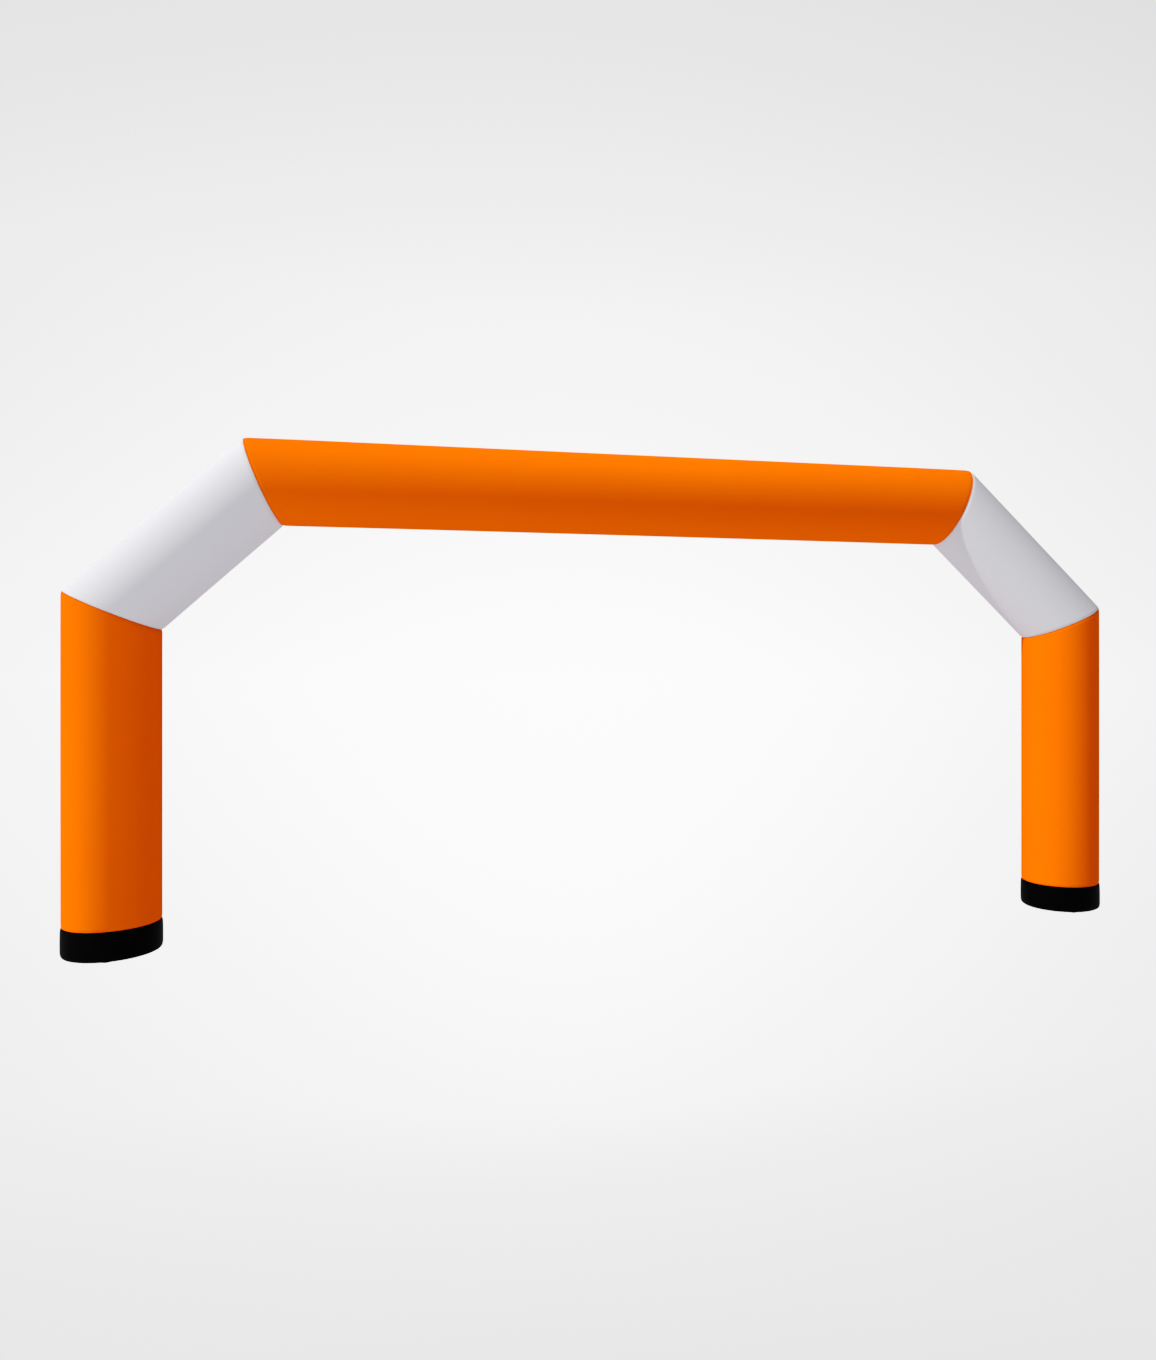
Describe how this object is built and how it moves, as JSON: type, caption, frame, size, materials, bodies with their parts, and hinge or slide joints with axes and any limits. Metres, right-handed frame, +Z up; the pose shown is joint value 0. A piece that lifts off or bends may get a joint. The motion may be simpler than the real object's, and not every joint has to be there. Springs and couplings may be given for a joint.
{
  "type": "inflatable arch",
  "caption": "Free-standing air-filled cloth arch: mitred round tubes make two legs, slanting shoulders and a crossbeam, on heavier dark cloth feet.",
  "frame": {"origin": "on the ground, halfway between the two legs", "axes": "+X across the arch along the crossbeam, +Y through the arch, +Z up"},
  "size_m": [7.01, 0.5499, 3.2],
  "materials": {
    "orange_polyester": "plain-woven polyester, dyed orange, matt",
    "white_polyester": "plain-woven polyester, white, matt",
    "black_pvc_cloth": "PVC-coated cloth, black, fine grain, low gloss"
  },
  "bodies": {
    "root": {"left_foot": "black_pvc_cloth", "left_leg": "orange_polyester", "left_diagonal": "white_polyester", "crossbeam": "orange_polyester", "right_diagonal": "white_polyester", "right_leg": "orange_polyester", "right_foot": "black_pvc_cloth"}
  },
  "joints": []
}
